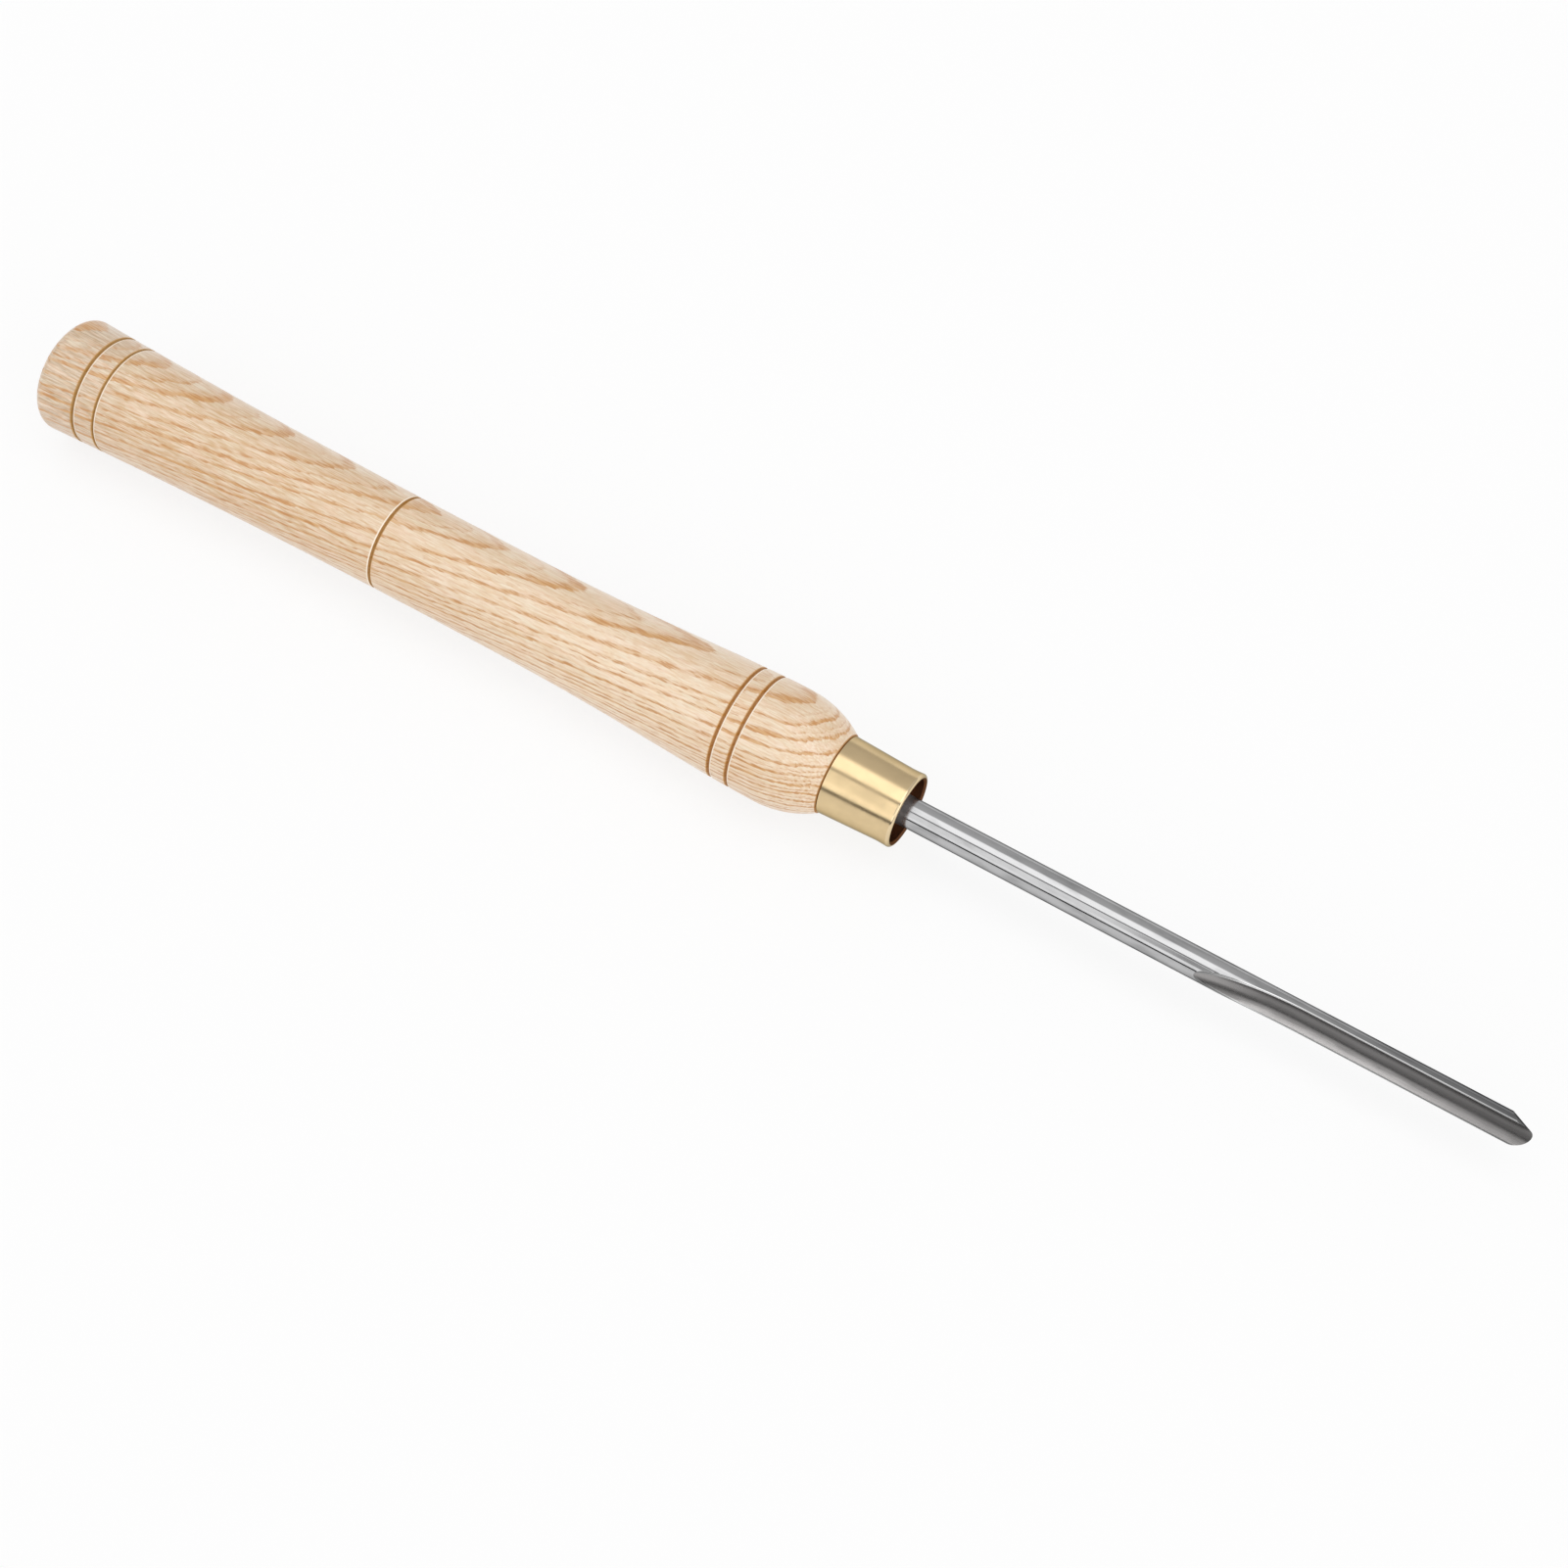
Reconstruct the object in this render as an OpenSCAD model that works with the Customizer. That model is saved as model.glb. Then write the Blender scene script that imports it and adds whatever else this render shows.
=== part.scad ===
// Turning gouge: a fluted round steel bar glued into an ash handle behind a brass ferrule.
// The tool lies along +X, from the centre of the butt face at the origin to the nose of the bar. +Z is up.

/* [Handle] */
// Length of the turned body, from the butt to the shoulder behind the ferrule
handle_len = 243; // [210:1:320]
// Diameter of the flared butt
butt_d = 32.5; // [30:0.1:40]
// Radius that rounds the rim of the butt
butt_round = 2.8; // [1:0.1:5]
// Diameter at the waist, the thinnest place of the grip
waist_d = 26.7; // [24:0.1:29.5]
// Distance of the waist from the butt
waist_x = 138; // [90:1:150]
// Diameter of the bulb behind the nose
bulb_d = 31.7; // [30:0.1:40]
// Length of the rounded nose, from the bulb to the shoulder
nose_len = 16; // [12:0.1:30]
// Height of the shoulder that stands proud of the ferrule's back edge
shoulder_step = 0.2; // [0:0.05:1]

/* [Grooves] */
// Width of a groove in the butt and front pairs
groove_w = 0.9; // [0.5:0.1:1.5]
// Depth of a groove in the butt and front pairs
groove_depth = 0.6; // [0.3:0.1:1]
// Distance of the first butt groove from the butt
butt_groove_x = 12.9; // [8:0.1:25]
// Distance between the two butt grooves
butt_groove_pitch = 6.7; // [3:0.1:10]
// Distance of the single groove from the butt
mid_groove_x = 108.8; // [60:0.1:150]
// Width of the single groove
mid_groove_w = 0.7; // [0.4:0.1:1.5]
// Depth of the single groove
mid_groove_depth = 0.5; // [0.3:0.1:1]
// Distance of the foremost groove behind the bulb
front_groove_inset = 7.4; // [1.5:0.1:15]
// Distance between the two front grooves
front_groove_pitch = 5.3; // [3:0.1:10]

/* [Ferrule] */
// Length of the ferrule, from the shoulder to its mouth
ferrule_len = 20.6; // [15:0.1:30]
// Outer diameter at the shoulder
ferrule_back_d = 21.5; // [20:0.1:25]
// Outer diameter at the neck, the end of the taper
ferrule_neck_d = 20.2; // [18:0.1:21]
// Wall thickness at the neck, which sets the straight bore
ferrule_wall = 1.3; // [0.8:0.1:2]
// Height that the belled lip flares out beyond the neck
ferrule_lip_flare = 0.15; // [0:0.05:0.5]
// Length of the belled lip
ferrule_lip_len = 4; // [2:0.1:6]
// Radius that rounds the outer edge of the mouth
ferrule_lip_round = 0.9; // [0.3:0.1:1]
// Bevel on the ferrule's other edges
ferrule_edge = 0.3; // [0.1:0.05:0.4]
// Depth of the open recess in front of the tenon
recess_depth = 5; // [1:0.5:8]

/* [Gouge bar] */
// Diameter of the round bar
bar_d = 8; // [6:0.5:10]
// Length of bar that stands out of the ferrule
bar_reach = 168.1; // [150:0.1:220]
// Length of the tang inside the handle
tang_len = 56; // [40:1:80]
// Height of the step from the bar down to the tang
tang_step = 0.3; // [0.1:0.05:1]
// Bevel on the buried end of the tang
tang_bevel = 0.8; // [0.3:0.1:1.5]

/* [Flute] */
// Length of the flute at full depth, measured back from the nose
flute_len = 57.5; // [40:0.5:80]
// Depth of the flute below the top of the bar
flute_depth = 4.4; // [3:0.1:5]
// Radius of the flute's round bottom
flute_r = 4.8; // [4:0.1:6]
// Radius of the wheel that cut the flute and left its run-out
flute_wheel_r = 100; // [60:1:150]
// Angle at which the flute faces up from the -Y side
flute_rise = 22.6; // [0:0.1:90]

/* [Nose grind] */
// Angle between the bevel and the bottom of the flute
bevel_angle = 28.4; // [25:0.1:40]
// Half angle of the cone that the bevel follows
grind_half_angle = 12.1; // [8:0.1:15]
// Distance of the cone's apex ahead of the nose
grind_reach = 12.5; // [8:0.1:20]

/* [Fits] */
// Gap between the tenon and the ferrule's bore
ferrule_clearance = 0.05; // [0:0.01:0.2]
// Gap between the bar and the wall of its socket
socket_clearance = 0.2; // [0.05:0.01:0.3]
// Gap between the cured adhesive and what it bonds
bond_clearance = 0.02; // [0:0.01:0.04]
// Thickness of adhesive under the end of the tang
adhesive_floor = 1.5; // [0.5:0.1:4]

/* [Hidden] */
$fn = 96;

grip_steps = 44;
flare_power = 2.3;
nose_steps = 16;
rim_steps = 8;
overcut = 1;
runout_margin = 3;

butt_r = butt_d / 2;
waist_r = waist_d / 2;
bulb_r = bulb_d / 2;
bulb_x = handle_len - nose_len;
front_groove_x = bulb_x - front_groove_inset - front_groove_pitch;

mouth_x = handle_len + ferrule_len;
tenon_end = mouth_x - recess_depth;
back_r = ferrule_back_d / 2;
neck_r = ferrule_neck_d / 2;
lip_r = neck_r + ferrule_lip_flare;
bore_r = neck_r - ferrule_wall;
lip_round = min(ferrule_lip_round, lip_r - bore_r - ferrule_edge);
tenon_r = bore_r - ferrule_clearance;
shoulder_r = back_r + shoulder_step;
nose_drop = bulb_r - shoulder_r;
nose_arc_r = (pow(nose_len, 2) + pow(nose_drop, 2)) / (2 * nose_drop);

bar_r = bar_d / 2;
tang_r = bar_r - tang_step;
tip_x = mouth_x + bar_reach;
tang_start = tenon_end - tang_len;
socket_r = bar_r + socket_clearance;
socket_end = tang_start - adhesive_floor;

flute_start = tip_x - flute_len;
flute_floor = bar_r - flute_depth;
runout_angle = acos(1 - flute_depth / flute_wheel_r) + runout_margin;
flute_turn = -90 - flute_rise;

grind_tilt = bevel_angle - grind_half_angle;
grind_zone = bar_d / tan(bevel_angle);
grind_apex = flute_floor + grind_reach * tan(bevel_angle);
grind_len = (grind_reach + grind_zone) * cos(grind_half_angle) / cos(bevel_angle) + overcut;

// Swell from the waist to the bulb: 0 to 1, level at both ends and steepest near the bulb
function swell(t) = 4 * pow(t, 3) - 3 * pow(t, 4);

// Radius of the grip at a distance from the butt, up to the bulb
function grip_r(x) = x < waist_x
    ? waist_r + (butt_r - waist_r) * pow(1 - x / waist_x, flare_power)
    : waist_r + (bulb_r - waist_r) * swell((x - waist_x) / (bulb_x - waist_x));

// Quarter arc from its lower end to its outer end, as [radius, x] points
function rim_arc(r, x, round) = [
    for (i = [0 : rim_steps])
        let (a = 90 * i / rim_steps)
            [r - round + round * sin(a), x + round - round * cos(a)]
];

// Turns children that were made along +Z to lie along +X
module along_x() {
    rotate([0, 90, 0]) children();
}

module handle_blank() {
    butt_rim = rim_arc(grip_r(butt_round), 0, butt_round);
    grip = [
        for (i = [1 : grip_steps])
            let (x = butt_round + (bulb_x - butt_round) * i / grip_steps)
                [grip_r(x), x]
    ];
    nose = [
        for (i = [1 : nose_steps])
            let (x = nose_len * i / nose_steps)
                [bulb_r - nose_arc_r + sqrt(pow(nose_arc_r, 2) - pow(x, 2)), bulb_x + x]
    ];
    tenon = [[tenon_r, handle_len], [tenon_r, tenon_end], [0, tenon_end]];
    rotate_extrude() polygon(concat([[0, 0]], butt_rim, grip, nose, tenon));
}

// V-shaped groove, scored all round at a distance from the butt
module groove_cut(x, width, depth) {
    r = grip_r(x);
    rotate_extrude() polygon([[r - depth, x], [r + depth, x - width], [r + depth, x + width]]);
}

module handle() {
    color("burlywood") along_x() difference() {
        handle_blank();
        for (i = [0, 1]) {
            groove_cut(butt_groove_x + i * butt_groove_pitch, groove_w, groove_depth);
            groove_cut(front_groove_x + i * front_groove_pitch, groove_w, groove_depth);
        }
        groove_cut(mid_groove_x, mid_groove_w, mid_groove_depth);
        translate([0, 0, socket_end]) cylinder(r = socket_r, h = tenon_end - socket_end + overcut);
    }
}

module ferrule() {
    lip = [for (p = rim_arc(lip_r, 0, lip_round)) [p[0], mouth_x - p[1]]];
    outside = [
        [back_r - ferrule_edge, handle_len],
        [back_r, handle_len + ferrule_edge],
        [neck_r, mouth_x - ferrule_lip_len]
    ];
    lip_inward = [for (i = [rim_steps : -1 : 0]) lip[i]];
    bore = [
        [bore_r + ferrule_edge, mouth_x],
        [bore_r, mouth_x - ferrule_edge],
        [bore_r, handle_len]
    ];
    color("goldenrod") along_x() rotate_extrude() polygon(concat(outside, lip_inward, bore));
}

module bar_blank() {
    rotate_extrude() polygon([
        [0, tang_start],
        [tang_r - tang_bevel, tang_start],
        [tang_r, tang_start + tang_bevel],
        [tang_r, tenon_end],
        [bar_r, tenon_end],
        [bar_r, tip_x],
        [0, tip_x]
    ]);
}

// Straight round-bottomed cut up to the nose, with the run-out that the wheel leaves behind it
module flute_cut() {
    translate([flute_floor + flute_r, 0, flute_start])
        cylinder(r = flute_r, h = flute_len + overcut);
    translate([flute_floor + flute_wheel_r, 0, flute_start])
        rotate([90, 0, 0])
            rotate([0, 0, 180])
                rotate_extrude(angle = runout_angle)
                    translate([flute_wheel_r - flute_r, 0]) circle(r = flute_r);
}

// What the grinder takes off the nose: all that lies outside a cone tilted over the flute
module grind_waste() {
    difference() {
        translate([-bar_d, -bar_d, tip_x - grind_zone])
            cube([2 * bar_d, 2 * bar_d, grind_zone + overcut]);
        translate([grind_apex, 0, tip_x + grind_reach])
            rotate([0, 180 + grind_tilt, 0])
                cylinder(r1 = 0, r2 = grind_len * tan(grind_half_angle), h = grind_len);
    }
}

module gouge_bar() {
    color("silver") along_x() rotate([0, 0, flute_turn]) difference() {
        bar_blank();
        flute_cut();
        grind_waste();
    }
}

module tang_adhesive() {
    outer_r = socket_r - bond_clearance;
    inner_r = tang_r + bond_clearance;
    low = socket_end + bond_clearance;
    high = tenon_end - bond_clearance;
    floor_x = tang_start - bond_clearance;
    color("khaki") along_x() rotate_extrude() polygon([
        [0, low], [outer_r, low], [outer_r, high], [inner_r, high], [inner_r, floor_x], [0, floor_x]
    ]);
}

handle();
ferrule();
gouge_bar();
tang_adhesive();
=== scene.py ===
"""Looks of a turning gouge: ash handle, brass ferrule and fluted steel bar on a pale floor."""

import math

import bmesh
import bpy
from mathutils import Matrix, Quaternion, Vector


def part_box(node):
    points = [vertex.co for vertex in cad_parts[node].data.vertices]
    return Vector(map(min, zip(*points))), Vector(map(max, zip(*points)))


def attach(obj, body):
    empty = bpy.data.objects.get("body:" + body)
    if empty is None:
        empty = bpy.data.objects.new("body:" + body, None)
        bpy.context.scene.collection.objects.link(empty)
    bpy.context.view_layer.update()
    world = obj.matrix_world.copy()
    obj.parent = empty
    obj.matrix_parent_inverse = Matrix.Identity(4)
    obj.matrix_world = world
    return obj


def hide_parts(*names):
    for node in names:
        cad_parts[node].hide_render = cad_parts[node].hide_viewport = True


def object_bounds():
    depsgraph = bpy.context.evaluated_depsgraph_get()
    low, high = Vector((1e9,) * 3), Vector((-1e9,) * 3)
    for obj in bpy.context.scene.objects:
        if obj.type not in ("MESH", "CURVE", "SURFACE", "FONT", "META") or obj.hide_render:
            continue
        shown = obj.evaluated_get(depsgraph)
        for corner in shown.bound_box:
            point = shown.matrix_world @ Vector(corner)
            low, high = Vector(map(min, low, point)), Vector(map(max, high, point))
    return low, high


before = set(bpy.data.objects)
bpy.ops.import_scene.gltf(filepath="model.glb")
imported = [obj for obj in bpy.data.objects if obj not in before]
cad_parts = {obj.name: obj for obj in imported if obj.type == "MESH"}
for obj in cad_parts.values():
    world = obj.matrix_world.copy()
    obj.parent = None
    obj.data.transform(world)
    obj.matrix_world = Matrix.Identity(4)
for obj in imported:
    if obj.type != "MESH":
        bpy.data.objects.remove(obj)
cad_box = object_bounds()

# All sizes are in millimetres and become metres where a mesh is made
MM = 0.001

# Places along the tool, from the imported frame
HANDLE_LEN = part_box("ferrule")[0].x / MM
MOUTH_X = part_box("ferrule")[1].x / MM
TENON_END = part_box("handle")[1].x / MM
TANG_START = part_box("gouge_bar")[0].x / MM
TIP_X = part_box("gouge_bar")[1].x / MM
FLOOR_Z = cad_box[0][2] / MM

# Handle
BUTT_R = 16.25
BUTT_ROUND = 2.8
WAIST_R = 13.35
WAIST_X = 138.0
FLARE_POWER = 2.3
BULB_R = 15.85
NOSE_LEN = 16.0
BULB_X = HANDLE_LEN - NOSE_LEN
SHOULDER_R = 10.95
NOSE_DROP = BULB_R - SHOULDER_R
NOSE_ARC_R = (NOSE_LEN**2 + NOSE_DROP**2) / (2 * NOSE_DROP)
SHOULDER_ROUND = 0.2
TENON_R = 8.75
SOCKET_R = 4.2
SOCKET_END = TANG_START - 1.5
GRIP_STEP = 1.0
ROUND_STEPS = 12

# Grooves: place, width, depth and the side of the pale lip, a painted highlight, towards the tip or
# the butt
TO_TIP, TO_BUTT = 1, -1
WIDE_GROOVE = (0.9, 0.6)
FINE_GROOVE = (0.7, 0.5)
GROOVES = [
    (12.9, *WIDE_GROOVE, TO_TIP),
    (19.6, *FINE_GROOVE, TO_TIP),
    (108.8, *WIDE_GROOVE, TO_BUTT),
    (BULB_X - 12.7, *WIDE_GROOVE, TO_TIP),
    (BULB_X - 7.4, *WIDE_GROOVE, TO_TIP),
]
GROOVE_FLOOR = 0.2
SHOULDER_LIP = 0.2
SHOULDER_LIP_DROP = 0.08
PALE_LIP = 0.36
PALE_LIP_DROP = 0.1

# Ferrule
BACK_R = 10.75
NECK_R = 10.1
LIP_R = 10.25
LIP_LEN = 4.0
LIP_ROUND = 0.8
BORE_R = 8.8
FERRULE_EDGE = 0.3
MOUTH_BEVEL = 0.5

# Bar, flute and nose grind
BAR_R = 4.0
TANG_R = 3.7
TANG_BEVEL = 0.8
FLUTE_START = TIP_X - 57.5
FLUTE_FLOOR = -0.4
FLUTE_R = 4.8
WHEEL_R = 100.0
FLUTE_RISE = math.radians(22.6)
RUNOUT_X = FLUTE_START - math.sqrt(WHEEL_R**2 - (FLUTE_FLOOR + WHEEL_R - BAR_R) ** 2)
NOSE_ZONE = TIP_X - 13.0
BEVEL_ANGLE = math.radians(28.4)
GRIND_HALF_ANGLE = math.radians(12.1)
GRIND_TILT = BEVEL_ANGLE - GRIND_HALF_ANGLE
GRIND_REACH = 12.5
EDGE_SOFT = 0.55
EDGE_SOFT_SHARE = 0.3

# Finishes, in the order of each piece's materials
WOOD, CUT, PALE, SHADED_EDGE = range(4)
OUTSIDE, BORE, RIM = range(3)
ROUND, FLUTE, BEVEL, LIP = range(4)

# Mesh density
AROUND = 192
BAR_AROUND = 120
RUNOUT_STEPS = 60
NOSE_ROWS = 10
EDGE_STEPS = 8
HALVINGS = 60
MERGE_GAP = 0.0005
SHARP_ANGLE = math.radians(32)

# Camera
CAMERA_AZIMUTH = math.radians(31.0)
CAMERA_ELEVATION = math.radians(60.9)
CAMERA_DISTANCE = 691.4
CAMERA_AIM = (232.0, -7.6, -3.65)
CAMERA_ROLL = math.radians(0.23)
SENSOR_WIDTH = 36.0
LENS = 62.96
CLIP_START = 0.01


# Geometry


class Skin:
    """Collects grids of points, in millimetres, and makes one mesh object of them."""

    def __init__(self):
        self.points = []
        self.faces = []
        self.finishes = []

    def grid(self, rows, finish=0, closed=False):
        """Quads between rows of equally many points. Closed joins each row's end to its start."""
        first = len(self.points)
        width = len(rows[0])
        for row in rows:
            self.points.extend(row)
        for i in range(len(rows) - 1):
            for j in range(width if closed else width - 1):
                a = first + i * width + j
                b = first + i * width + (j + 1) % width
                self.faces.append((a, b, b + width, a + width))
                self.finishes.append(finish)

    def build(self, name, materials):
        mesh = bpy.data.meshes.new(name)
        mesh.from_pydata([tuple(c * MM for c in p) for p in self.points], [], self.faces)
        mesh.polygons.foreach_set("material_index", self.finishes)
        for material in materials:
            mesh.materials.append(material)
        form = bmesh.new()
        form.from_mesh(mesh)
        bmesh.ops.remove_doubles(form, verts=form.verts, dist=MERGE_GAP * MM)
        bmesh.ops.recalc_face_normals(form, faces=form.faces)
        for face in form.faces:
            face.smooth = True
        for edge in form.edges:
            kinds = {face.material_index for face in edge.link_faces}
            edge.smooth = len(kinds) == 1 and edge.calc_face_angle(0) < SHARP_ANGLE
        form.to_mesh(mesh)
        form.free()
        piece = bpy.data.objects.new(name, mesh)
        bpy.context.scene.collection.objects.link(piece)
        return piece


def ring(x, r):
    """A circle of points round the tool's axis."""
    turns = [2 * math.pi * i / AROUND for i in range(AROUND)]
    return [(x, r * math.cos(t), r * math.sin(t)) for t in turns]


def lathe(skin, outline, finish):
    """Turns an outline of (x, radius) points about the tool's axis."""
    skin.grid([ring(x, r) for x, r in outline], finish, closed=True)


def swell(t):
    """Rise from the waist to the bulb: 0 to 1, level at both ends and steepest near the bulb."""
    return 4 * t**3 - 3 * t**4


def grip_r(x):
    """Radius of the handle at a distance from the butt, up to the shoulder."""
    if x < WAIST_X:
        return WAIST_R + (BUTT_R - WAIST_R) * (1 - x / WAIST_X) ** FLARE_POWER
    if x < BULB_X:
        return WAIST_R + (BULB_R - WAIST_R) * swell((x - WAIST_X) / (BULB_X - WAIST_X))
    return BULB_R - NOSE_ARC_R + math.sqrt(NOSE_ARC_R**2 - (x - BULB_X) ** 2)


def grip_outline(start, end):
    """The smooth handle between two places, in steps."""
    count = max(1, round((end - start) / GRIP_STEP))
    places = [start + (end - start) * i / count for i in range(count + 1)]
    return [(x, grip_r(x)) for x in places]


def groove_strips(x, width, depth, pale_side):
    """A V-shaped groove as strips of (outline, finish): shoulder with painted shade, core and pale
    lip with a painted highlight.
    """
    half = width / 2
    turns = [
        (-half - SHOULDER_LIP, 0),
        (-half, SHOULDER_LIP_DROP),
        (-GROOVE_FLOOR / 2, depth),
        (GROOVE_FLOOR / 2, depth),
        (half, PALE_LIP_DROP),
        (half + PALE_LIP, 0),
    ]
    finishes = [SHADED_EDGE, CUT, CUT, CUT, PALE]
    if pale_side == TO_BUTT:
        turns = [(-away, drop) for away, drop in reversed(turns)]
        finishes.reverse()
    points = [(x + away, grip_r(x + away) - drop) for away, drop in turns]
    return [(points[i : i + 2], finish) for i, finish in enumerate(finishes)]


def turned_handle(materials):
    """The whole handle: butt, grip, grooves with a pale lip painted as a highlight, nose, shoulder,
    tenon and socket.
    """
    skin = Skin()
    rim_r = grip_r(BUTT_ROUND)
    angles = [math.pi / 2 * i / ROUND_STEPS for i in range(ROUND_STEPS + 1)]
    rim = [
        (BUTT_ROUND * (1 - math.cos(a)), rim_r - BUTT_ROUND * (1 - math.sin(a)))
        for a in angles
    ]
    lathe(skin, [(0, 0), (0, rim_r / 3), (0, rim_r * 2 / 3), *rim], WOOD)
    place = BUTT_ROUND
    for groove in GROOVES:
        strips = groove_strips(*groove)
        lathe(skin, grip_outline(place, strips[0][0][0][0]), WOOD)
        for outline, finish in strips:
            lathe(skin, outline, finish)
        place = strips[-1][0][-1][0]
    shoulder_x = HANDLE_LEN - SHOULDER_ROUND
    lathe(skin, grip_outline(place, shoulder_x), WOOD)
    shoulder = [
        (shoulder_x, grip_r(shoulder_x)),
        (HANDLE_LEN, SHOULDER_R - SHOULDER_ROUND / 2),
        (HANDLE_LEN, TENON_R),
    ]
    lathe(skin, shoulder, CUT)
    front = [
        (HANDLE_LEN, TENON_R),
        (TENON_END, TENON_R),
        (TENON_END, SOCKET_R),
        (SOCKET_END, SOCKET_R),
        (SOCKET_END, 0),
    ]
    lathe(skin, front, WOOD)
    return skin.build("turned_handle", materials)


def turned_ferrule(materials):
    """Tapered ring with a belled, rounded mouth. Its bore and rim have their own finishes: the
    bore, from the bevel in the mouth to the back face, is painted dark as shade, and the rounded
    rim is painted lighter as a highlight.
    """
    skin = Skin()
    angles = [math.pi / 2 * i / ROUND_STEPS for i in range(ROUND_STEPS + 1)]
    lip = [
        (MOUTH_X - LIP_ROUND * (1 - math.sin(a)), LIP_R - LIP_ROUND * (1 - math.cos(a)))
        for a in angles
    ]
    neck_x = MOUTH_X - LIP_LEN
    bell_x = MOUTH_X - LIP_ROUND
    bell = []
    for i in range(ROUND_STEPS):
        t = i / ROUND_STEPS
        bell.append((neck_x + (bell_x - neck_x) * t, NECK_R + (LIP_R - NECK_R) * t * t))
    outside = [(HANDLE_LEN, BACK_R - FERRULE_EDGE), (HANDLE_LEN + FERRULE_EDGE, BACK_R)]
    lathe(skin, outside + bell + lip[:1], OUTSIDE)
    lathe(skin, lip, RIM)
    bore = [lip[-1], (MOUTH_X - MOUTH_BEVEL, BORE_R), (HANDLE_LEN, BORE_R), outside[0]]
    lathe(skin, bore, BORE)
    return skin.build("turned_ferrule", materials)


# The bar's own directions: w points out of the flute, l lies across it
FLUTE_W = Vector((0, -math.cos(FLUTE_RISE), math.sin(FLUTE_RISE)))
FLUTE_L = Vector((1, 0, 0)).cross(FLUTE_W)


def bar_point(x, w, l):
    side = w * FLUTE_W + l * FLUTE_L
    return (x, side.y, side.z)


def flute_w(x, l):
    """Height of the flute's surface across it. Behind the flute's start the wheel lifts it."""
    back = max(0.0, FLUTE_START - x)
    reach = WHEEL_R - FLUTE_R + math.sqrt(FLUTE_R**2 - l**2)
    return FLUTE_FLOOR + WHEEL_R - math.sqrt(reach**2 - back**2)


def lip_angle(x):
    """Angle from the flute's middle to the lip, where the flute meets the round of the bar."""
    low, high = 0.0, math.pi / 2
    for _ in range(HALVINGS):
        middle = (low + high) / 2
        inside = BAR_R * math.cos(middle) > flute_w(x, BAR_R * math.sin(middle))
        low, high = (middle, high) if inside else (low, middle)
    return low


def grind_x(w, l):
    """Place along the bar where the tilted grinding cone lies at a place across it."""
    apex_w = FLUTE_FLOOR + GRIND_REACH * math.tan(BEVEL_ANGLE)
    drop = apex_w - w
    c2 = math.cos(GRIND_HALF_ANGLE) ** 2
    ax, aw = math.cos(GRIND_TILT), math.sin(GRIND_TILT)
    a = c2 - ax * ax
    b = 2 * ax * aw * drop
    c = c2 * (drop * drop + l * l) - aw * aw * drop * drop
    behind_apex = (b - math.sqrt(b * b - 4 * a * c)) / (2 * a)
    return TIP_X + GRIND_REACH - behind_apex


def edge_soft(x):
    """How far the softened lip reaches from its corner. It shrinks where the flute begins."""
    return min(EDGE_SOFT, EDGE_SOFT_SHARE * BAR_R * math.sin(lip_angle(x)))


def round_side(x):
    """The bar's round side across one place, from lip to lip round the back."""
    lip = lip_angle(x) + edge_soft(x) / BAR_R if x > RUNOUT_X else 0.0
    turns = [lip + (2 * math.pi - 2 * lip) * i / BAR_AROUND for i in range(BAR_AROUND + 1)]
    return [(BAR_R * math.cos(t), BAR_R * math.sin(t)) for t in turns]


def flute_side(x):
    """The flute across one place, from lip to lip."""
    lip = math.asin(BAR_R * math.sin(lip_angle(x)) / FLUTE_R) - edge_soft(x) / FLUTE_R
    turns = [lip - 2 * lip * i / BAR_AROUND for i in range(BAR_AROUND + 1)]
    across = [FLUTE_R * math.sin(t) for t in turns]
    return [(flute_w(x, l), l) for l in across]


def lip_side(x, end):
    """The softened lip across one place, from the round side to the flute.

    The end is 0 for the lower lip and -1 for the upper one.
    """
    start, finish = round_side(x)[end], flute_side(x)[end]
    turn = lip_angle(x) * (1 if end == 0 else -1)
    corner = (BAR_R * math.cos(turn), BAR_R * math.sin(turn))
    points = []
    for i in range(EDGE_STEPS + 1):
        t = i / EDGE_STEPS
        parts = ((1 - t) ** 2, 2 * t * (1 - t), t * t)
        pulls = list(zip(parts, (start, corner, finish)))
        points.append(tuple(sum(k * p[n] for k, p in pulls) for n in (0, 1)))
    return points


def nose_rows(side):
    """Rows that carry one side of the bar from the nose zone to the grind."""
    rows = []
    for i in range(NOSE_ROWS + 1):
        t = i / NOSE_ROWS
        rows.append([bar_point(NOSE_ZONE + (grind_x(w, l) - NOSE_ZONE) * t, w, l) for w, l in side])
    return rows


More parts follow.
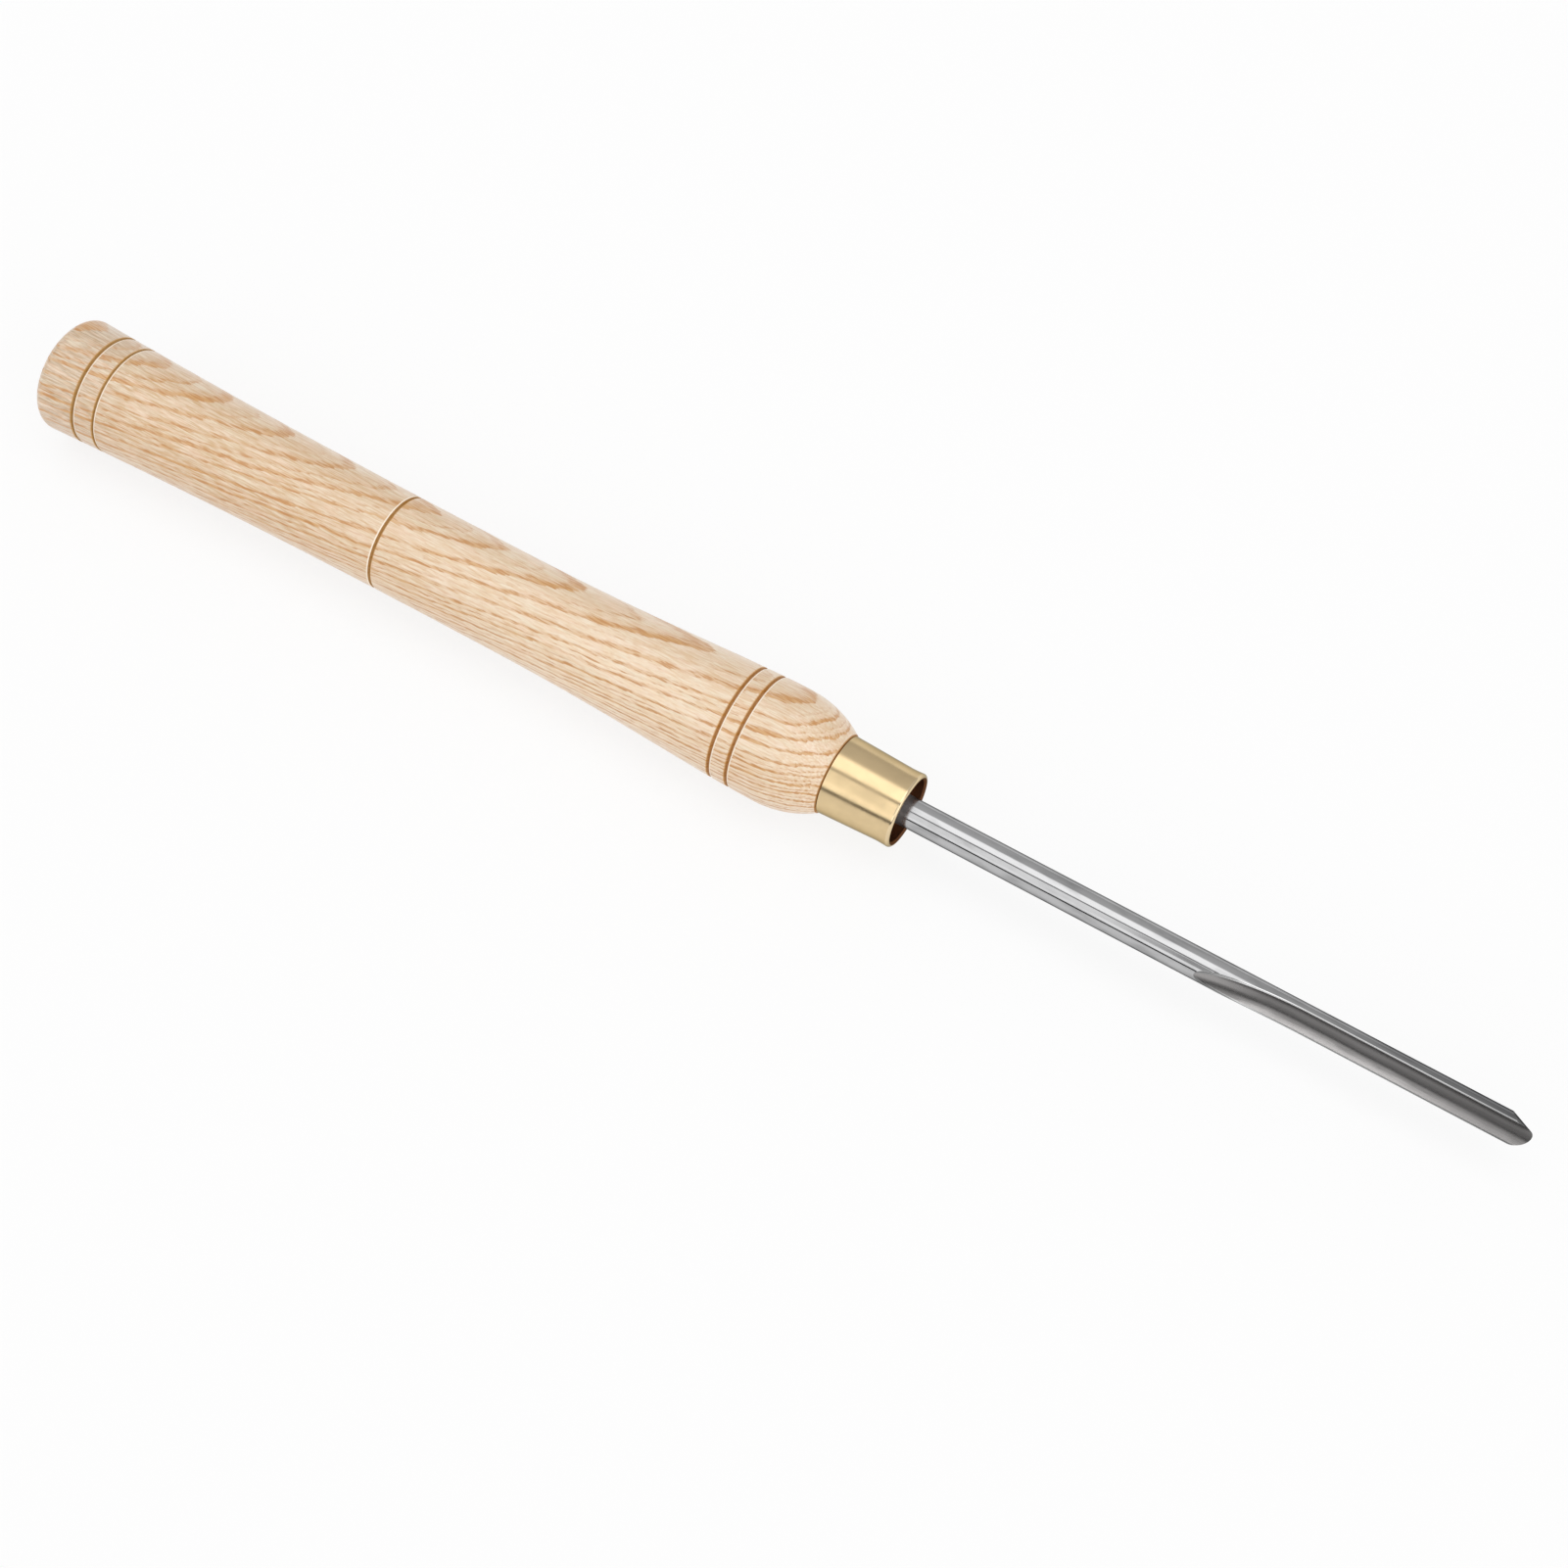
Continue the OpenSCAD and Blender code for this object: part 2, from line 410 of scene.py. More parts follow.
def fluted_bar(materials):
    """Tang, shank, flute with its run-out, and the ground nose."""
    skin = Skin()
    tang = [
        (TANG_START, 0),
        (TANG_START, TANG_R - TANG_BEVEL),
        (TANG_START + TANG_BEVEL, TANG_R),
        (TENON_END, TANG_R),
        (TENON_END, BAR_R),
    ]
    turns = [2 * math.pi * i / BAR_AROUND for i in range(BAR_AROUND)]
    skin.grid(
        [[bar_point(x, r * math.cos(t), r * math.sin(t)) for t in turns] for x, r in tang],
        ROUND,
        closed=True,
    )
    runout = []
    for i in range(RUNOUT_STEPS + 1):
        runout.append(RUNOUT_X + (FLUTE_START - RUNOUT_X) * (i / RUNOUT_STEPS) ** 2)
    shank = [TENON_END, (TENON_END + RUNOUT_X) / 2]

    def strip(section, places):
        return [[bar_point(x, w, l) for w, l in section(x)] for x in places]

    skin.grid(strip(round_side, shank + runout) + nose_rows(round_side(NOSE_ZONE)), ROUND)
    skin.grid(strip(flute_side, runout) + nose_rows(flute_side(NOSE_ZONE)), FLUTE)
    lips = [lip_side(NOSE_ZONE, 0), lip_side(NOSE_ZONE, -1)]
    for end, lip in zip((0, -1), lips):
        skin.grid(strip(lambda x: lip_side(x, end), runout) + nose_rows(lip), LIP)
    bevel = []
    for i in range(EDGE_STEPS + 1):
        t = i / EDGE_STEPS
        pairs = zip(round_side(NOSE_ZONE), flute_side(NOSE_ZONE))
        across = [(a[0] + (b[0] - a[0]) * t, a[1] + (b[1] - a[1]) * t) for a, b in pairs]
        across[0], across[-1] = lips[0][i], lips[1][i]
        bevel.append([bar_point(grind_x(w, l), w, l) for w, l in across])
    skin.grid(bevel, BEVEL)
    return skin.build("fluted_bar", materials)


# Materials


def srgb(r, g, b):
    """Linear colour of a colour given as 0 to 255 display values."""
    def linear(v):
        v /= 255
        return v / 12.92 if v <= 0.04045 else ((v + 0.055) / 1.055) ** 2.4
    return (linear(r), linear(g), linear(b), 1.0)


class Graph:
    """Short ways to add nodes to one node tree."""

    def __init__(self, owner):
        owner.use_nodes = True
        self.tree = owner.node_tree
        self.tree.nodes.clear()

    def add(self, kind, sockets=None, **settings):
        node = self.tree.nodes.new(kind)
        for name, value in settings.items():
            setattr(node, name, value)
        for name, value in (sockets or {}).items():
            self.feed(node.inputs[name], value)
        return node

    def feed(self, socket, value):
        if isinstance(value, bpy.types.NodeSocket):
            self.tree.links.new(value, socket)
        else:
            socket.default_value = value

    def math(self, operation, a, b=0.0):
        return self.add("ShaderNodeMath", {0: a, 1: b}, operation=operation).outputs[0]

    def place(self):
        """The point on the surface, in millimetres."""
        point = self.add("ShaderNodeTexCoord").outputs["Object"]
        sockets = {0: point, "Scale": 1 / MM}
        return self.add("ShaderNodeVectorMath", sockets, operation="SCALE").outputs[0]

    def along(self, vector, direction):
        node = self.add("ShaderNodeVectorMath", {0: vector, 1: direction}, operation="DOT_PRODUCT")
        return node.outputs["Value"]

    def noise(self, vector, size, detail=2.0, roughness=0.5):
        """Soft noise whose blobs have the given size in millimetres along x, y and z."""
        scale = {0: vector, 1: tuple(1 / s for s in size)}
        scaled = self.add("ShaderNodeVectorMath", scale, operation="MULTIPLY").outputs[0]
        sockets = {"Vector": scaled, "Scale": 1.0, "Detail": detail, "Roughness": roughness}
        return self.add("ShaderNodeTexNoise", sockets).outputs[0]

    def step(self, value, low, high, to_low=0.0, to_high=1.0):
        """Smooth change from to_low to to_high as the value goes from low to high."""
        sockets = {"Value": value, "From Min": low, "From Max": high}
        sockets.update({"To Min": to_low, "To Max": to_high})
        return self.add("ShaderNodeMapRange", sockets, interpolation_type="SMOOTHSTEP").outputs[0]

    def spots(self, vector, size, span, to=(0.0, 1.0), detail=2.0, roughness=0.5):
        """Noise that changes smoothly from one value to another as it goes through a span."""
        return self.step(self.noise(vector, size, detail, roughness), *span, *to)

    def mix(self, factor, a, b, blend="MIX"):
        node = self.add("ShaderNodeMix", data_type="RGBA", blend_type=blend)
        self.feed(node.inputs["Factor"], factor)
        self.feed(node.inputs[6], a)
        self.feed(node.inputs[7], b)
        return node.outputs[2]

    def greys(self, share, stops):
        """Grey that follows stops of (place from 0 to 1, level)."""
        ramp = self.add("ShaderNodeValToRGB", {"Fac": share})
        marks = ramp.color_ramp.elements
        while len(marks) < len(stops):
            marks.new(0.5)
        for mark, (place, level) in zip(marks, stops):
            mark.position = place
            mark.color = (level, level, level, 1.0)
        return ramp.outputs[0]

    def greys_by(self, value, stops):
        """Grey that follows stops of (value, level) of any size."""
        low, high = stops[0][0], stops[-1][0]
        share = self.math("DIVIDE", self.math("SUBTRACT", value, low), high - low)
        return self.greys(share, [((at - low) / (high - low), level) for at, level in stops])

    def bump(self, height, strength, distance):
        sockets = {"Height": height, "Strength": strength, "Distance": distance * MM}
        return self.add("ShaderNodeBump", sockets).outputs[0]

    def surface(self, **sockets):
        named = {name.replace("_", " "): value for name, value in sockets.items()}
        shader = self.add("ShaderNodeBsdfPrincipled", named)
        self.add("ShaderNodeOutputMaterial", {"Surface": shader.outputs[0]})


def new_material(name):
    material = bpy.data.materials.new(name)
    return material, Graph(material)


# Directions on the part
LENGTHWISE = (1.0, 0.0, 0.0)
UPPER_SIDE = (0.0, 0.903, 0.430)

# The part of a noise over which a finish changes
NOISE_SPAN = (0.3, 0.7)

# Ash: growth rings that lean along the handle, so that they run out as flames on its upper side.
# The flame tips are places along the handle. Inside the last one's ring, all rings have one width.
RING_UP = (-0.12, 0.581, 0.815)
RING_ACROSS = (0.0, -0.815, 0.581)
PITH_DISTANCE = 70.0
FLAME_TIPS = (8.5, 30.0, 52.0, 71.5, 91.0, 116.0, 135.0, 162.0, 198.0, 231.0)
RING_WIDTH = 2.5
FAINT_LINE = 0.5
RING_DEPTHS = (-48.0, 20.0)
LINE_SLACK = 0.001

# Waves of the rings: size, depth and depth on the upper side, which is reached over a span
RING_WAVES = [
    ((80, 25, 25), 1.8, 1.8),
    ((14, 3, 3), 1.5, 0.6),
    ((6.0, 0.5, 0.5), 0.75, 0.4),
]
WAVE_DETAIL = 1.5
UPPER_CALM = (6.0, 13.0)

# Porous lines, in shares of a ring. Each step is from, to, and the values before and after
LINE_START = (0.0, 0.07)
LINE_WIDE_TO = 0.28
LINE_GONE_AT = 0.64
LINE_DEPTH = 0.8
LINE_FILL = (0.35, 0.95, 0.24, 0.0)
FAINT_THINNER = 0.16
UPPER_THINNER = (0.0, 12.0, 0.0, 0.08)
GONE_SOONER = 1.5
LINE_LUCK = (0.0, 1.0, 0.6, 1.15)
FAINT_LESS = (195.0, 225.0, 0.58, 0.9)
LOW_SIDE_MORE = (-3.0, -10.0, 0.0, 0.35)
UPPER_MORE = (5.0, 11.0, 0.0, 0.25)
BULB_MORE = (195.0, 230.0, 0.0, 0.25)
LINE_PATCHES = {"size": (24, 2.2, 2.2), "span": (0.36, 0.6), "to": (0.5, 1.0)}
PORE_DASHES = {"size": (4.0, 0.45, 0.45), "span": (0.45, 0.6)}
PORES_BY_LINE = (0.02, 0.5, 0.12, 1.0)

# Ground of the wood: steps by place, with painted shade on the upper side, casts, fibres and flecks
REAR_TONE = (10.0, 190.0, 1.1, 0.0)
TONE_DRIFT = 0.7
TONE_DRIFT_SIZE = (50, 14, 14)
TONE_BASE = 0.25
# Painted shade: the upper side turns tan
UPPER_SIDE_SHADE = (-3.0, 9.0, 0.0, 0.4)
BULB_TAN = (195.0, 225.0, 0.0, 0.2)
# Darker and greyer towards the butt
BUTT_DARKER = (8.0, 34.0, 0.85, 0.0)
CAST_SIZE = (9, 1.8, 1.8)
GREY_CAST = (0.5, 0.7, 0.0, 0.5)
PINK_CAST = (0.5, 0.3, 0.0, 0.5)
FIBRES = {
    "size": (6, 0.36, 0.36),
    "span": (0.36, 0.64),
    "to": (0.0, 0.52),
    "detail": 3.0,
    "roughness": 0.6,
}
FLECKS = {"size": (2.6, 0.45, 0.45), "span": (0.54, 0.68), "to": (0.0, 0.3)}
LINE_SHARE = 0.85
PORE_SHARE = 0.75
ASH_LIGHT = srgb(249, 237, 220)
ASH_PALE = srgb(241, 215, 182)
ASH_TAN = srgb(209, 172, 126)
ASH_BUTT = srgb(188, 161, 131)
ASH_GREY = srgb(231, 215, 186)
ASH_PINK = srgb(241, 211, 185)
ASH_EARLY = srgb(212, 162, 103)
ASH_PORE = srgb(194, 131, 65)

# Cuts: tints that cover the wood in the grooves, on their lips as a painted highlight and at their
# shoulders as painted shade
# Painted highlight on the grooves' lips
GROOVE_LIP_HIGHLIGHT = srgb(253, 240, 222)
# Painted shade on the grooves' shoulders
GROOVE_EDGE_SHADE = srgb(206, 158, 92)
GROOVE_BUTT = srgb(172, 130, 68)
GROOVE_FRONT = srgb(174, 118, 52)
TINT_CHANGE = (60.0, 180.0)
TINT_STRENGTH = 0.85
EDGE_SHADE_STRENGTH = 0.6
CUT_SPECULAR = 0.1

# Lacquer and relief of the wood
ASH_ROUGHNESS = (0.0, 1.0, 0.42, 0.6)
ASH_SPECULAR = 0.5
LACQUER = 0.8
LACQUER_ROUGHNESS = 0.3
PORE_RELIEF = -1.0
LINE_RELIEF = -0.3
ASH_BUMP = (0.35, 0.1)


def ring_edges():
    """Depths in the tree where porous lines begin, outermost first. Every second line is faint."""
    years = [grip_r(x) + RING_UP[0] * x for x in FLAME_TIPS]
    while years[-1] > RING_DEPTHS[0] + RING_WIDTH:
        years.append(years[-1] - RING_WIDTH)
    edges = []
    for outer, inner in zip(years, years[1:]):
        edges += [outer, outer + (inner - outer) * FAINT_LINE]
    return edges


def growth_rings(g, p, side):
    """Number of the line and place behind it, 0 where it begins. Odd lines are the faint ones."""
    height = g.math("ADD", g.along(p, RING_UP), PITH_DISTANCE)
    for size, depth, upper_depth in RING_WAVES:
        sway = g.math("SUBTRACT", g.noise(p, size, WAVE_DETAIL), 0.5)
        depth = g.step(side, *UPPER_CALM, depth, upper_depth)
        height = g.math("ADD", height, g.math("MULTIPLY", sway, depth))
    across = g.along(p, RING_ACROSS)
    squares = g.math("ADD", g.math("MULTIPLY", height, height), g.math("MULTIPLY", across, across))
    depth = g.math("SUBTRACT", g.math("SQRT", squares), PITH_DISTANCE)
    low, high = RING_DEPTHS
    share = g.math("DIVIDE", g.math("SUBTRACT", depth, low), high - low)
    edges = ring_edges()
    count = len(edges) + 1
    curve = g.add("ShaderNodeFloatCurve", {"Value": share})
    points = curve.mapping.curves[0].points
    for i, edge in enumerate(edges):
        points.new((edge - low) / (high - low), 1 - (i + 1) / count)
    for point in points:
        point.handle_type = "VECTOR"
    curve.mapping.update()
    lines = g.math("MULTIPLY", curve.outputs[0], count)
    return g.math("FLOOR", g.math("ADD", lines, LINE_SLACK)), g.math("FRACT", lines)


def line_strength(g, line, odd, side, along):
    """How dark a line is: by luck, by whether it is faint, and by its place on the handle."""
    luck = g.add("ShaderNodeTexWhiteNoise", {"W": line}, noise_dimensions="1D").outputs["Value"]
    faint = g.math("MULTIPLY", odd, g.step(along, *FAINT_LESS))
    strength = g.math("SUBTRACT", g.step(luck, *LINE_LUCK), faint)
    for place, more in ((side, LOW_SIDE_MORE), (along, BULB_MORE), (side, UPPER_MORE)):
        strength = g.math("ADD", strength, g.step(place, *more))
    return g.math("MAXIMUM", strength, 0.0)


def porous_lines(g, p, side, along):
    """The porous lines and the pores in them, from 0 to about 1."""
    line, behind = growth_rings(g, p, side)
    odd = g.math("MODULO", line, 2.0)
    thin = g.math("ADD", g.math("MULTIPLY", odd, FAINT_THINNER), g.step(side, *UPPER_THINNER))
    wide_to = g.math("SUBTRACT", LINE_WIDE_TO, thin)
    gone_at = g.math("SUBTRACT", LINE_GONE_AT, g.math("MULTIPLY", thin, GONE_SOONER))
    outline = g.step(behind, wide_to, gone_at, LINE_DEPTH, 0.0)
    shape = g.math("ADD", outline, g.step(behind, *LINE_FILL))
    shape = g.math("MULTIPLY", shape, g.step(behind, *LINE_START))
    strength = line_strength(g, line, odd, side, along)
    lines = g.math("MULTIPLY", shape, g.math("MULTIPLY", g.spots(p, **LINE_PATCHES), strength))
    pores = g.math("MULTIPLY", g.spots(p, **PORE_DASHES), g.step(lines, *PORES_BY_LINE))
    return lines, pores


def ash_colour(g, p, side, along, lines, pores):
    """A ground that changes along and round the handle, with the lines and pores over it."""
    drift = g.math("MULTIPLY", g.noise(p, TONE_DRIFT_SIZE, 1.0), TONE_DRIFT)
    tone = g.math("ADD", g.step(along, *REAR_TONE), drift)
    cast = g.noise(p, CAST_SIZE)
    layers = [
        # Painted shade on the upper side
        (g.step(side, *UPPER_SIDE_SHADE), ASH_TAN),
        (g.step(along, *BULB_TAN), ASH_TAN),
        # Darker and greyer towards the butt
        (g.step(along, *BUTT_DARKER), ASH_BUTT),
        (g.step(cast, *GREY_CAST), ASH_GREY),
        (g.step(cast, *PINK_CAST), ASH_PINK),
        (g.spots(p, **FIBRES), ASH_LIGHT),
        (g.spots(p, **FLECKS), ASH_EARLY),
        (g.math("MULTIPLY", lines, LINE_SHARE), ASH_EARLY),
        (g.math("MULTIPLY", pores, PORE_SHARE), ASH_PORE),
    ]
    colour = g.mix(g.math("SUBTRACT", tone, TONE_BASE), ASH_PALE, ASH_TAN)
    for share, layer in layers:
        colour = g.mix(share, colour, layer)
    return colour


def ash_wood(name, tints=None, strength=TINT_STRENGTH):
    """Ring-porous wood under satin lacquer. A pair of tints colours the cuts, butt first."""
    material, g = new_material(name)
    p = g.place()
    side = g.along(p, UPPER_SIDE)
    along = g.along(p, LENGTHWISE)
    lines, pores = porous_lines(g, p, side, along)
    colour = ash_colour(g, p, side, along, lines, pores)
    if tints:
        colour = g.mix(strength, colour, g.mix(g.step(along, *TINT_CHANGE), *tints))
    relief = g.math("MULTIPLY", pores, PORE_RELIEF)
    relief = g.math("ADD", relief, g.math("MULTIPLY", lines, LINE_RELIEF))
    g.surface(
        Base_Color=colour,
        Roughness=g.step(pores, *ASH_ROUGHNESS),
        Specular_IOR_Level=CUT_SPECULAR if tints else ASH_SPECULAR,
        Coat_Weight=0.0 if tints else LACQUER,
        Coat_Roughness=LACQUER_ROUGHNESS,
        Normal=g.bump(relief, *ASH_BUMP),
    )
    return material


# Brass: colours, with painted shade in the bore and a painted highlight on the rim, and the tint
# that dims it where it turns away
BRASS = (0.76, 0.58, 0.335, 1.0)
# Painted highlight: the rounded rim is lighter brass
BRASS_RIM_HIGHLIGHT = (0.82, 0.65, 0.41, 1.0)
# Painted shade: the bore is near-black brown
BRASS_BORE_SHADE = (0.16, 0.07, 0.035, 1.0)
BRASS_EDGE = (0.45, 0.44, 0.40, 1.0)
BRASS_ROUGHNESS = 0.17
RIM_ROUGHNESS = 0.12
BORE_ROUGHNESS = 0.45
BRASS_ROUGHER = 0.05
BRASS_SHADE = 0.92
LATHE_LINES = (0.12, 30, 30)
BRASS_CLOUD = (6, 5, 5)
BRASS_BUMP = (0.04, 0.02)


def turned_brass(name, colour, roughness):
    """Brass with the fine rings that a lathe leaves round it, clouded a little."""
    material, g = new_material(name)
    p = g.place()
    cloud = g.noise(p, BRASS_CLOUD, 3.0)
    shade = tuple(c * BRASS_SHADE for c in colour[:3]) + (1.0,)
    g.surface(
        Base_Color=g.mix(g.step(cloud, *NOISE_SPAN), colour, shade),
        Metallic=1.0,
        Specular_Tint=BRASS_EDGE,
        Roughness=g.step(cloud, *NOISE_SPAN, roughness, roughness + BRASS_ROUGHER),
        Normal=g.bump(g.noise(p, LATHE_LINES), *BRASS_BUMP),
    )
    return material


# Steel: colours, the tint that dims it where it turns away, and a painted shade that darkens it
# towards the tip
STEEL = (0.50, 0.50, 0.505, 1.0)
# Painted shade towards the tip
STEEL_TIP_SHADE = (0.22, 0.22, 0.225, 1.0)
# The bevel's grey is dark as painted shade, for the dark that it reflects
STEEL_BEVEL_SHADE = (0.20, 0.20, 0.20, 1.0)
STEEL_EDGE = (0.15, 0.15, 0.15, 1.0)
STEEL_ROUGHNESS = 0.06
BEVEL_ROUGHNESS = 0.25
STEEL_ROUGHER = 0.04
STEEL_WEAR = 0.70
BEVEL_WEAR = 0.82
TIP_PAINTED_SHADE = (345.0, 430.0)
DULL_IN_MOUTH = (MOUTH_X - 2.0, MOUTH_X + 2.6, 0.45, 0.0)
DRAWN_LINES = (40, 0.12, 0.12)
DRAWN_RELIEF = 0.05
STEEL_WAVES = (16, 2.5, 2.5)
STEEL_CLOUD = {"size": (9, 2.5, 2.5), "span": (0.4, 0.8), "detail": 3.0}
STEEL_BUMP = (0.06, 0.05)


def drawn_steel(name, colour, tip_shade_colour, roughness, wear):
    """Steel with fine lines and slow waves. Painted shade darkens it towards the tip, and it is
    dull in the mouth.
    """
    material, g = new_material(name)
    p = g.place()
    along = g.along(p, LENGTHWISE)
    lines = g.noise(p, DRAWN_LINES)
    # Painted shade: the grey falls towards the tip's colour
    clean = g.mix(g.step(along, *TIP_PAINTED_SHADE), colour, tip_shade_colour)
    worn = g.mix(1.0, clean, (wear, wear, wear, 1.0), "MULTIPLY")
    relief = g.math("ADD", g.math("MULTIPLY", lines, DRAWN_RELIEF), g.noise(p, STEEL_WAVES, 1.0))
    rough = g.step(lines, *NOISE_SPAN, roughness, roughness + STEEL_ROUGHER)
    g.surface(
        Base_Color=g.mix(g.spots(p, **STEEL_CLOUD), clean, worn),
        Metallic=1.0,
        Specular_Tint=STEEL_EDGE,
        Roughness=g.math("ADD", rough, g.step(along, *DULL_IN_MOUTH)),
        Normal=g.bump(relief, *STEEL_BUMP),
    )
    return material


# Grey of the flute by the place across it, from the upper lip to the lower: painted reflection and
# shade, light on the lower wall and dark in the bottom, halfway along the flute and at the tip
FLUTE_REFLECTION_MIDDLE = [
    (-3.9, 0.10),
    (-3.3, 0.10),
    (-2.2, 0.20),
    (-0.4, 0.18),
    (0.3, 0.14),
    (1.1, 0.13),
    (1.6, 0.19),
    (2.1, 0.25),
    (2.6, 0.50),
    (3.1, 0.62),
    (3.5, 0.60),
    (3.8, 0.50),
]
FLUTE_REFLECTION_TIP = [
    (-3.9, 0.12),
    (-3.3, 0.115),
    (-2.2, 0.17),
    (-0.6, 0.14),
    (0.2, 0.11),
    (1.0, 0.115),
    (1.6, 0.15),
    (2.1, 0.23),
    (2.6, 0.34),
    (3.1, 0.38),
    (3.5, 0.37),
    (3.8, 0.30),
]
FLUTE_FADE = (385.0, 428.0)
# Grey on the run-out's upper side, a painted reflection
RUNOUT_REFLECTION = (0.34, 0.34, 0.34, 1.0)
FLUTE_TINT = (1.0, 0.965, 0.955, 1.0)
RUNOUT_FADE = (RUNOUT_X + 2.0, RUNOUT_X + 20.0, 1.0, 0.0)
RUNOUT_SHIFT = 0.9
RUNOUT_UPPER = (-0.2, 0.8, 1.0, 0.0)
MILL_LINES = (30, 0.15, 0.15)
FLUTE_CLOUD = (8, 1.5, 1.5)
FLUTE_SWAY = 1.2
FLUTE_ROUGHNESS = (0.26, 0.36)
FLUTE_BUMP = (0.1, 0.03)

# Grey of the lips by the place along the bar, a painted highlight, and what the lower one keeps of
# it
FLUTE_LIP_HIGHLIGHT = [
    (348.0, 0.28),
    (354.0, 0.50),
    (357.0, 0.75),
    (362.0, 0.70),
    (368.0, 0.60),
    (376.0, 0.50),
    (396.0, 0.46),
    (408.0, 0.44),
    (425.0, 0.32),
]
LOWER_LIP_HIGHLIGHT = (0.7, 0.7, 0.7, 1.0)
LIP_SIDES = (-0.3, 0.3)
LIP_ROUGHNESS = (0.12, 0.16)
LIP_BUMP = (0.06, 0.03)


def fluted_steel(name):
    """The milled flute, with painted reflection and shade: dark in its bottom, grey on the upper
    wall and light on the lower one.
    """
    material, g = new_material(name)
    p = g.place()
    across = g.along(p, tuple(FLUTE_L))
    along = g.along(p, LENGTHWISE)
    start = g.step(along, *RUNOUT_FADE)
    lines = g.noise(p, MILL_LINES)
    cloud = g.noise(p, FLUTE_CLOUD, 3.0)
    sway = g.math("MULTIPLY", g.math("SUBTRACT", cloud, 0.5), FLUTE_SWAY)
    shift = g.math("MULTIPLY", start, RUNOUT_SHIFT)
    place = g.math("SUBTRACT", g.math("ADD", across, sway), shift)
    # Painted reflection and shade across the flute, halfway along and at the tip
    middle = g.greys_by(place, FLUTE_REFLECTION_MIDDLE)
    tip = g.greys_by(place, FLUTE_REFLECTION_TIP)
    grey = g.mix(g.step(along, *FLUTE_FADE), middle, tip)
    upper = g.math("MULTIPLY", start, g.step(across, *RUNOUT_UPPER))
    g.surface(
        Base_Color=g.mix(1.0, g.mix(upper, grey, RUNOUT_REFLECTION), FLUTE_TINT, "MULTIPLY"),
        Metallic=1.0,
        Roughness=g.step(lines, *NOISE_SPAN, *FLUTE_ROUGHNESS),
        Normal=g.bump(lines, *FLUTE_BUMP),
    )
    return material


def lip_steel(name):
    """The softened lips of the flute, with a painted highlight that is brightest where the flute
    reaches its full width.
    """
    material, g = new_material(name)
    p = g.place()
    lines = g.noise(p, MILL_LINES)
    # Painted highlight along the lips, dimmer on the lower lip
    upper = g.greys_by(g.along(p, LENGTHWISE), FLUTE_LIP_HIGHLIGHT)
    lower = g.mix(1.0, upper, LOWER_LIP_HIGHLIGHT, "MULTIPLY")
    g.surface(
        Base_Color=g.mix(g.step(g.along(p, tuple(FLUTE_L)), *LIP_SIDES), upper, lower),
        Metallic=1.0,
        Specular_Tint=STEEL_EDGE,
        Roughness=g.step(lines, *NOISE_SPAN, *LIP_ROUGHNESS),
        Normal=g.bump(lines, *LIP_BUMP),
    )
    return material


# Adhesive
ADHESIVE = srgb(205, 178, 120)
ADHESIVE_DARK = srgb(170, 140, 88)
ADHESIVE_ROUGHNESS = 0.35
BUBBLES = (0.8, 0.8, 0.8)
BUBBLE_BUMP = (0.3, 0.05)


def cured_adhesive(name):
    material, g = new_material(name)
    bubbles = g.noise(g.place(), BUBBLES)
    g.surface(
        Base_Color=g.mix(bubbles, ADHESIVE, ADHESIVE_DARK),
        Roughness=ADHESIVE_ROUGHNESS,
        Normal=g.bump(bubbles, *BUBBLE_BUMP),
    )
    return material


# Stage


# Brightness of the studio by the angle about the tool:
# 0 is the front horizon, 0.5 is overhead and 1 is the back horizon
STUDIO_STOPS = [
    (0.000, 0.85),
    (0.022, 0.80),
    (0.026, 0.07),
    (0.084, 0.07),
    (0.090, 1.42),
    (0.176, 1.42),
    (0.190, 1.30),
    (0.368, 1.30),
    (0.374, 0.36),
    (0.416, 0.36),
    (0.424, 1.67),
    (0.615, 1.67),
    (0.660, 0.65),
    (1.000, 0.56),
]
STUDIO_GAP = 0.45
PANEL_REACH = (0.54, 0.60)
END_PANEL = 1.6
END_PANEL_EDGE = (0.64, 0.70)
END_PANEL_TURN = (0.12, 0.62)
FAR_PANELS = 0.7
WINDOW_DIM = 0.56
WINDOW_SIDES = (-0.116, 0.13)
WINDOW_TURN = (0.205, 0.352)
PANEL_SOFT = 0.01
FLOOR_GREY = (0.9, 0.9, 0.9, 1.0)
WHITE = (1.0, 1.0, 1.0, 1.0)


